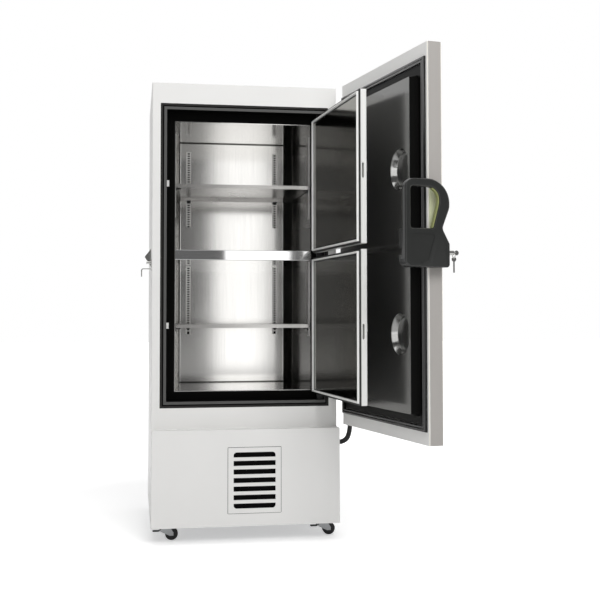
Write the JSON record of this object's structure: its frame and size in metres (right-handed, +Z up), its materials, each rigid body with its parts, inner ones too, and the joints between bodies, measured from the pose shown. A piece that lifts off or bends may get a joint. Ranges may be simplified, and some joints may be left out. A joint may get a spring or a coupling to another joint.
{
  "type": "ultra low temperature upright freezer",
  "caption": "White upright laboratory freezer with the insulated outer door and both inner doors standing open, stainless chamber, loop handle and louvred base",
  "frame": {"origin": "on the floor under the middle of the cabinet footprint", "axes": "+Z up, front towards -Y, +X to the right as seen from the front"},
  "size_m": [1.1149, 1.716, 1.95],
  "materials": {
    "white_paint": "satin",
    "black_plastic": "satin",
    "stainless": "satin",
    "chromed": "polished",
    "galvanised": "matte",
    "foam": "matte",
    "copper": "satin",
    "white_plastic": "satin",
    "grey_plastic": "satin",
    "filter_mat": "matte",
    "alloy": "matte",
    "machine_black": "satin",
    "seal_rubber": "matte",
    "green_rubber": "matte",
    "wheel_rubber": "matte"
  },
  "bodies": {
    "cabinet": {"cabinet_shell": "white_paint", "rear_panel": "galvanised", "bay_rear_cover": "galvanised", "insulation": "foam", "inner_liner": "stainless", "evaporator_coil": "copper", "breaker_frame": "black_plastic", "mid_divider": "stainless", "shelf_upper": "stainless", "shelf_lower": "stainless", "shelf_standards": "stainless", "shelf_clips": "stainless", "latch_strikes": "white_plastic", "inner_hinge_blocks": "stainless", "door_striker": "chromed", "hinge_brackets": "white_paint", "lower_front_panel": "white_paint", "filter_grille": "grey_plastic", "air_filter": "filter_mat", "base_frame": "galvanised", "condenser": "alloy", "fan_shroud": "galvanised", "fan_motor": "galvanised", "compressors": "machine_black", "cascade_exchanger": "foam", "refrigerant_lines": "copper", "control_box": "galvanised", "power_inlet": "black_plastic", "caster_mounts": "galvanised", "door_harness": "black_plastic"},
    "outer_door": {"door_panel": "white_paint", "door_plug_frame": "black_plastic", "door_liner": "stainless", "door_core": "foam", "door_gasket": "seal_rubber", "door_hinge_leaves": "white_paint", "control_panel": "black_plastic", "handle_base": "grey_plastic", "harness_gland": "black_plastic"},
    "handle": {"handle_lever": "black_plastic", "handle_grip": "green_rubber"},
    "lock": {"lock_barrel": "chromed"},
    "spare_key": {"hanging_key": "chromed"},
    "fan": {"fan_blades": "black_plastic"},
    "fork_left": {"caster_fork_left": "galvanised"},
    "fork_right": {"caster_fork_right": "galvanised"},
    "pedal_left": {"brake_pedal_left": "black_plastic"},
    "pedal_right": {"brake_pedal_right": "black_plastic"},
    "inner_leaf_upper": {"inner_door_upper": "white_plastic", "inner_skin_upper": "stainless", "inner_seal_upper": "seal_rubber"},
    "latch_upper": {"inner_latch_upper": "white_plastic"},
    "inner_leaf_lower": {"inner_door_lower": "white_plastic", "inner_skin_lower": "stainless", "inner_seal_lower": "seal_rubber"},
    "latch_lower": {"inner_latch_lower": "white_plastic"},
    "roller_front_left": {"wheel_front_left": "wheel_rubber"},
    "roller_front_right": {"wheel_front_right": "wheel_rubber"},
    "roller_rear_left": {"wheel_rear_left": "wheel_rubber"},
    "roller_rear_right": {"wheel_rear_right": "wheel_rubber"}
  },
  "joints": [
    {"name": "outer_door_hinge", "type": "hinge", "parent": "cabinet", "child": "outer_door", "pos_m": [0.428, -0.418, 1.2165], "axis": [0, 0, 1], "range_deg": [-101.1, 6]},
    {"name": "inner_door_upper_hinge", "type": "hinge", "parent": "cabinet", "child": "inner_leaf_upper", "pos_m": [0.327, -0.347, 1.5215], "axis": [0, 0, 1], "range_deg": [-95.7, 5.7]},
    {"name": "inner_latch_upper_turn", "type": "hinge", "parent": "inner_leaf_upper", "child": "latch_upper", "pos_m": [0.38609, -0.95916, 1.5215], "axis": [-0.9951, -0.0993, 0], "range_deg": [0, 90]},
    {"name": "inner_door_lower_hinge", "type": "hinge", "parent": "cabinet", "child": "inner_leaf_lower", "pos_m": [0.327, -0.347, 0.909], "axis": [0, 0, 1], "range_deg": [-95.7, 5.7]},
    {"name": "inner_latch_lower_turn", "type": "hinge", "parent": "inner_leaf_lower", "child": "latch_lower", "pos_m": [0.38609, -0.95916, 0.909], "axis": [-0.9951, -0.0993, 0], "range_deg": [0, 90]},
    {"name": "handle_lever_hinge", "type": "hinge", "parent": "outer_door", "child": "handle", "pos_m": [0.60007, -1.2535, 1.19], "axis": [-0.1925, 0.9813, 0], "range_deg": [-16, 20]},
    {"name": "lock_turn", "type": "hinge", "parent": "handle", "child": "lock", "pos_m": [0.64162, -1.26268, 1.176], "axis": [-0.9813, -0.1925, 0], "range_deg": [0, 90]},
    {"name": "spare_key_swing", "type": "hinge", "parent": "handle", "child": "spare_key", "pos_m": [0.65221, -1.2606, 1.176], "axis": [-0.9813, -0.1925, 0], "range_deg": [-30, 30]},
    {"name": "fan_spin", "type": "hinge", "parent": "cabinet", "child": "fan", "pos_m": [0.033, -0.3325, 0.219], "axis": [0, 1, 0], "continuous": true},
    {"name": "caster_swivel_left", "type": "hinge", "parent": "cabinet", "child": "fork_left", "pos_m": [-0.34, -0.341, 0.06], "axis": [0, 0, 1], "continuous": true},
    {"name": "wheel_spin_front_left", "type": "hinge", "parent": "fork_left", "child": "roller_front_left", "pos_m": [-0.31, -0.341, 0.027], "axis": [0, 1, 0], "continuous": true},
    {"name": "wheel_spin_rear_left", "type": "hinge", "parent": "cabinet", "child": "roller_rear_left", "pos_m": [-0.34, 0.325, 0.027], "axis": [1, 0, 0], "continuous": true},
    {"name": "brake_pedal_left_press", "type": "hinge", "parent": "fork_left", "child": "pedal_left", "pos_m": [-0.356, -0.341, 0.046], "axis": [0, 1, 0], "range_deg": [0, 15]},
    {"name": "caster_swivel_right", "type": "hinge", "parent": "cabinet", "child": "fork_right", "pos_m": [0.34, -0.341, 0.06], "axis": [0, 0, 1], "continuous": true},
    {"name": "wheel_spin_front_right", "type": "hinge", "parent": "fork_right", "child": "roller_front_right", "pos_m": [0.37, -0.341, 0.027], "axis": [0, 1, 0], "continuous": true},
    {"name": "wheel_spin_rear_right", "type": "hinge", "parent": "cabinet", "child": "roller_rear_right", "pos_m": [0.34, 0.325, 0.027], "axis": [1, 0, 0], "continuous": true},
    {"name": "brake_pedal_right_press", "type": "hinge", "parent": "fork_right", "child": "pedal_right", "pos_m": [0.324, -0.341, 0.046], "axis": [0, 1, 0], "range_deg": [0, 15]}
  ],
  "couplings": [
    {"joint": "inner_door_upper_hinge", "follows": "outer_door_hinge", "ratio": 0.94659},
    {"joint": "inner_door_lower_hinge", "follows": "outer_door_hinge", "ratio": 0.94659}
  ]
}
